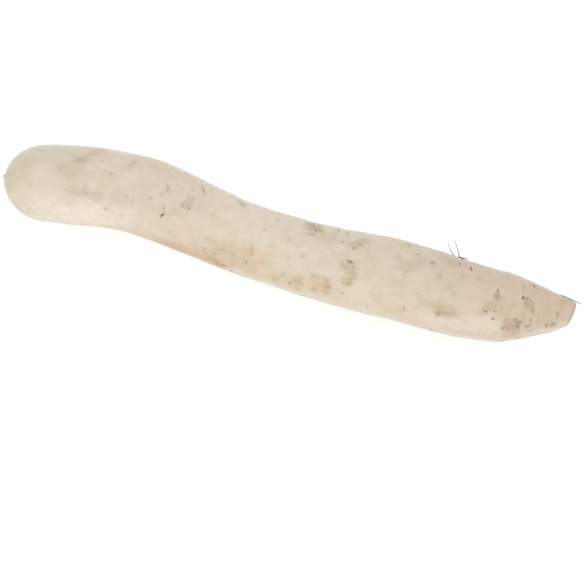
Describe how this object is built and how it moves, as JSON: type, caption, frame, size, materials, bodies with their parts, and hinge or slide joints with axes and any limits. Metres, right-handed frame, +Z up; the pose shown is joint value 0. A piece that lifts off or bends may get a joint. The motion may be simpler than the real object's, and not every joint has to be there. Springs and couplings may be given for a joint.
{
  "type": "daikon radish",
  "caption": "Long white radish root, gently S-bent, with its leaves trimmed to a small crown scar and its tail cut off, lying on its side.",
  "frame": {"origin": "on the surface the radish lies on, under the middle of its bounding box", "axes": "+X runs along the root from the trimmed crown to the cut tail, and +Z is up from the surface it lies on"},
  "size_m": [0.4022, 0.0788, 0.0545],
  "materials": {
    "skin": "thin waxy white root skin, washed, with soil stains, small lenticels and old rootlet scars",
    "rootlets": "dry tan hair roots, a fraction of a millimetre thick"
  },
  "bodies": {
    "root": {"radish_root": "skin"}
  },
  "joints": []
}
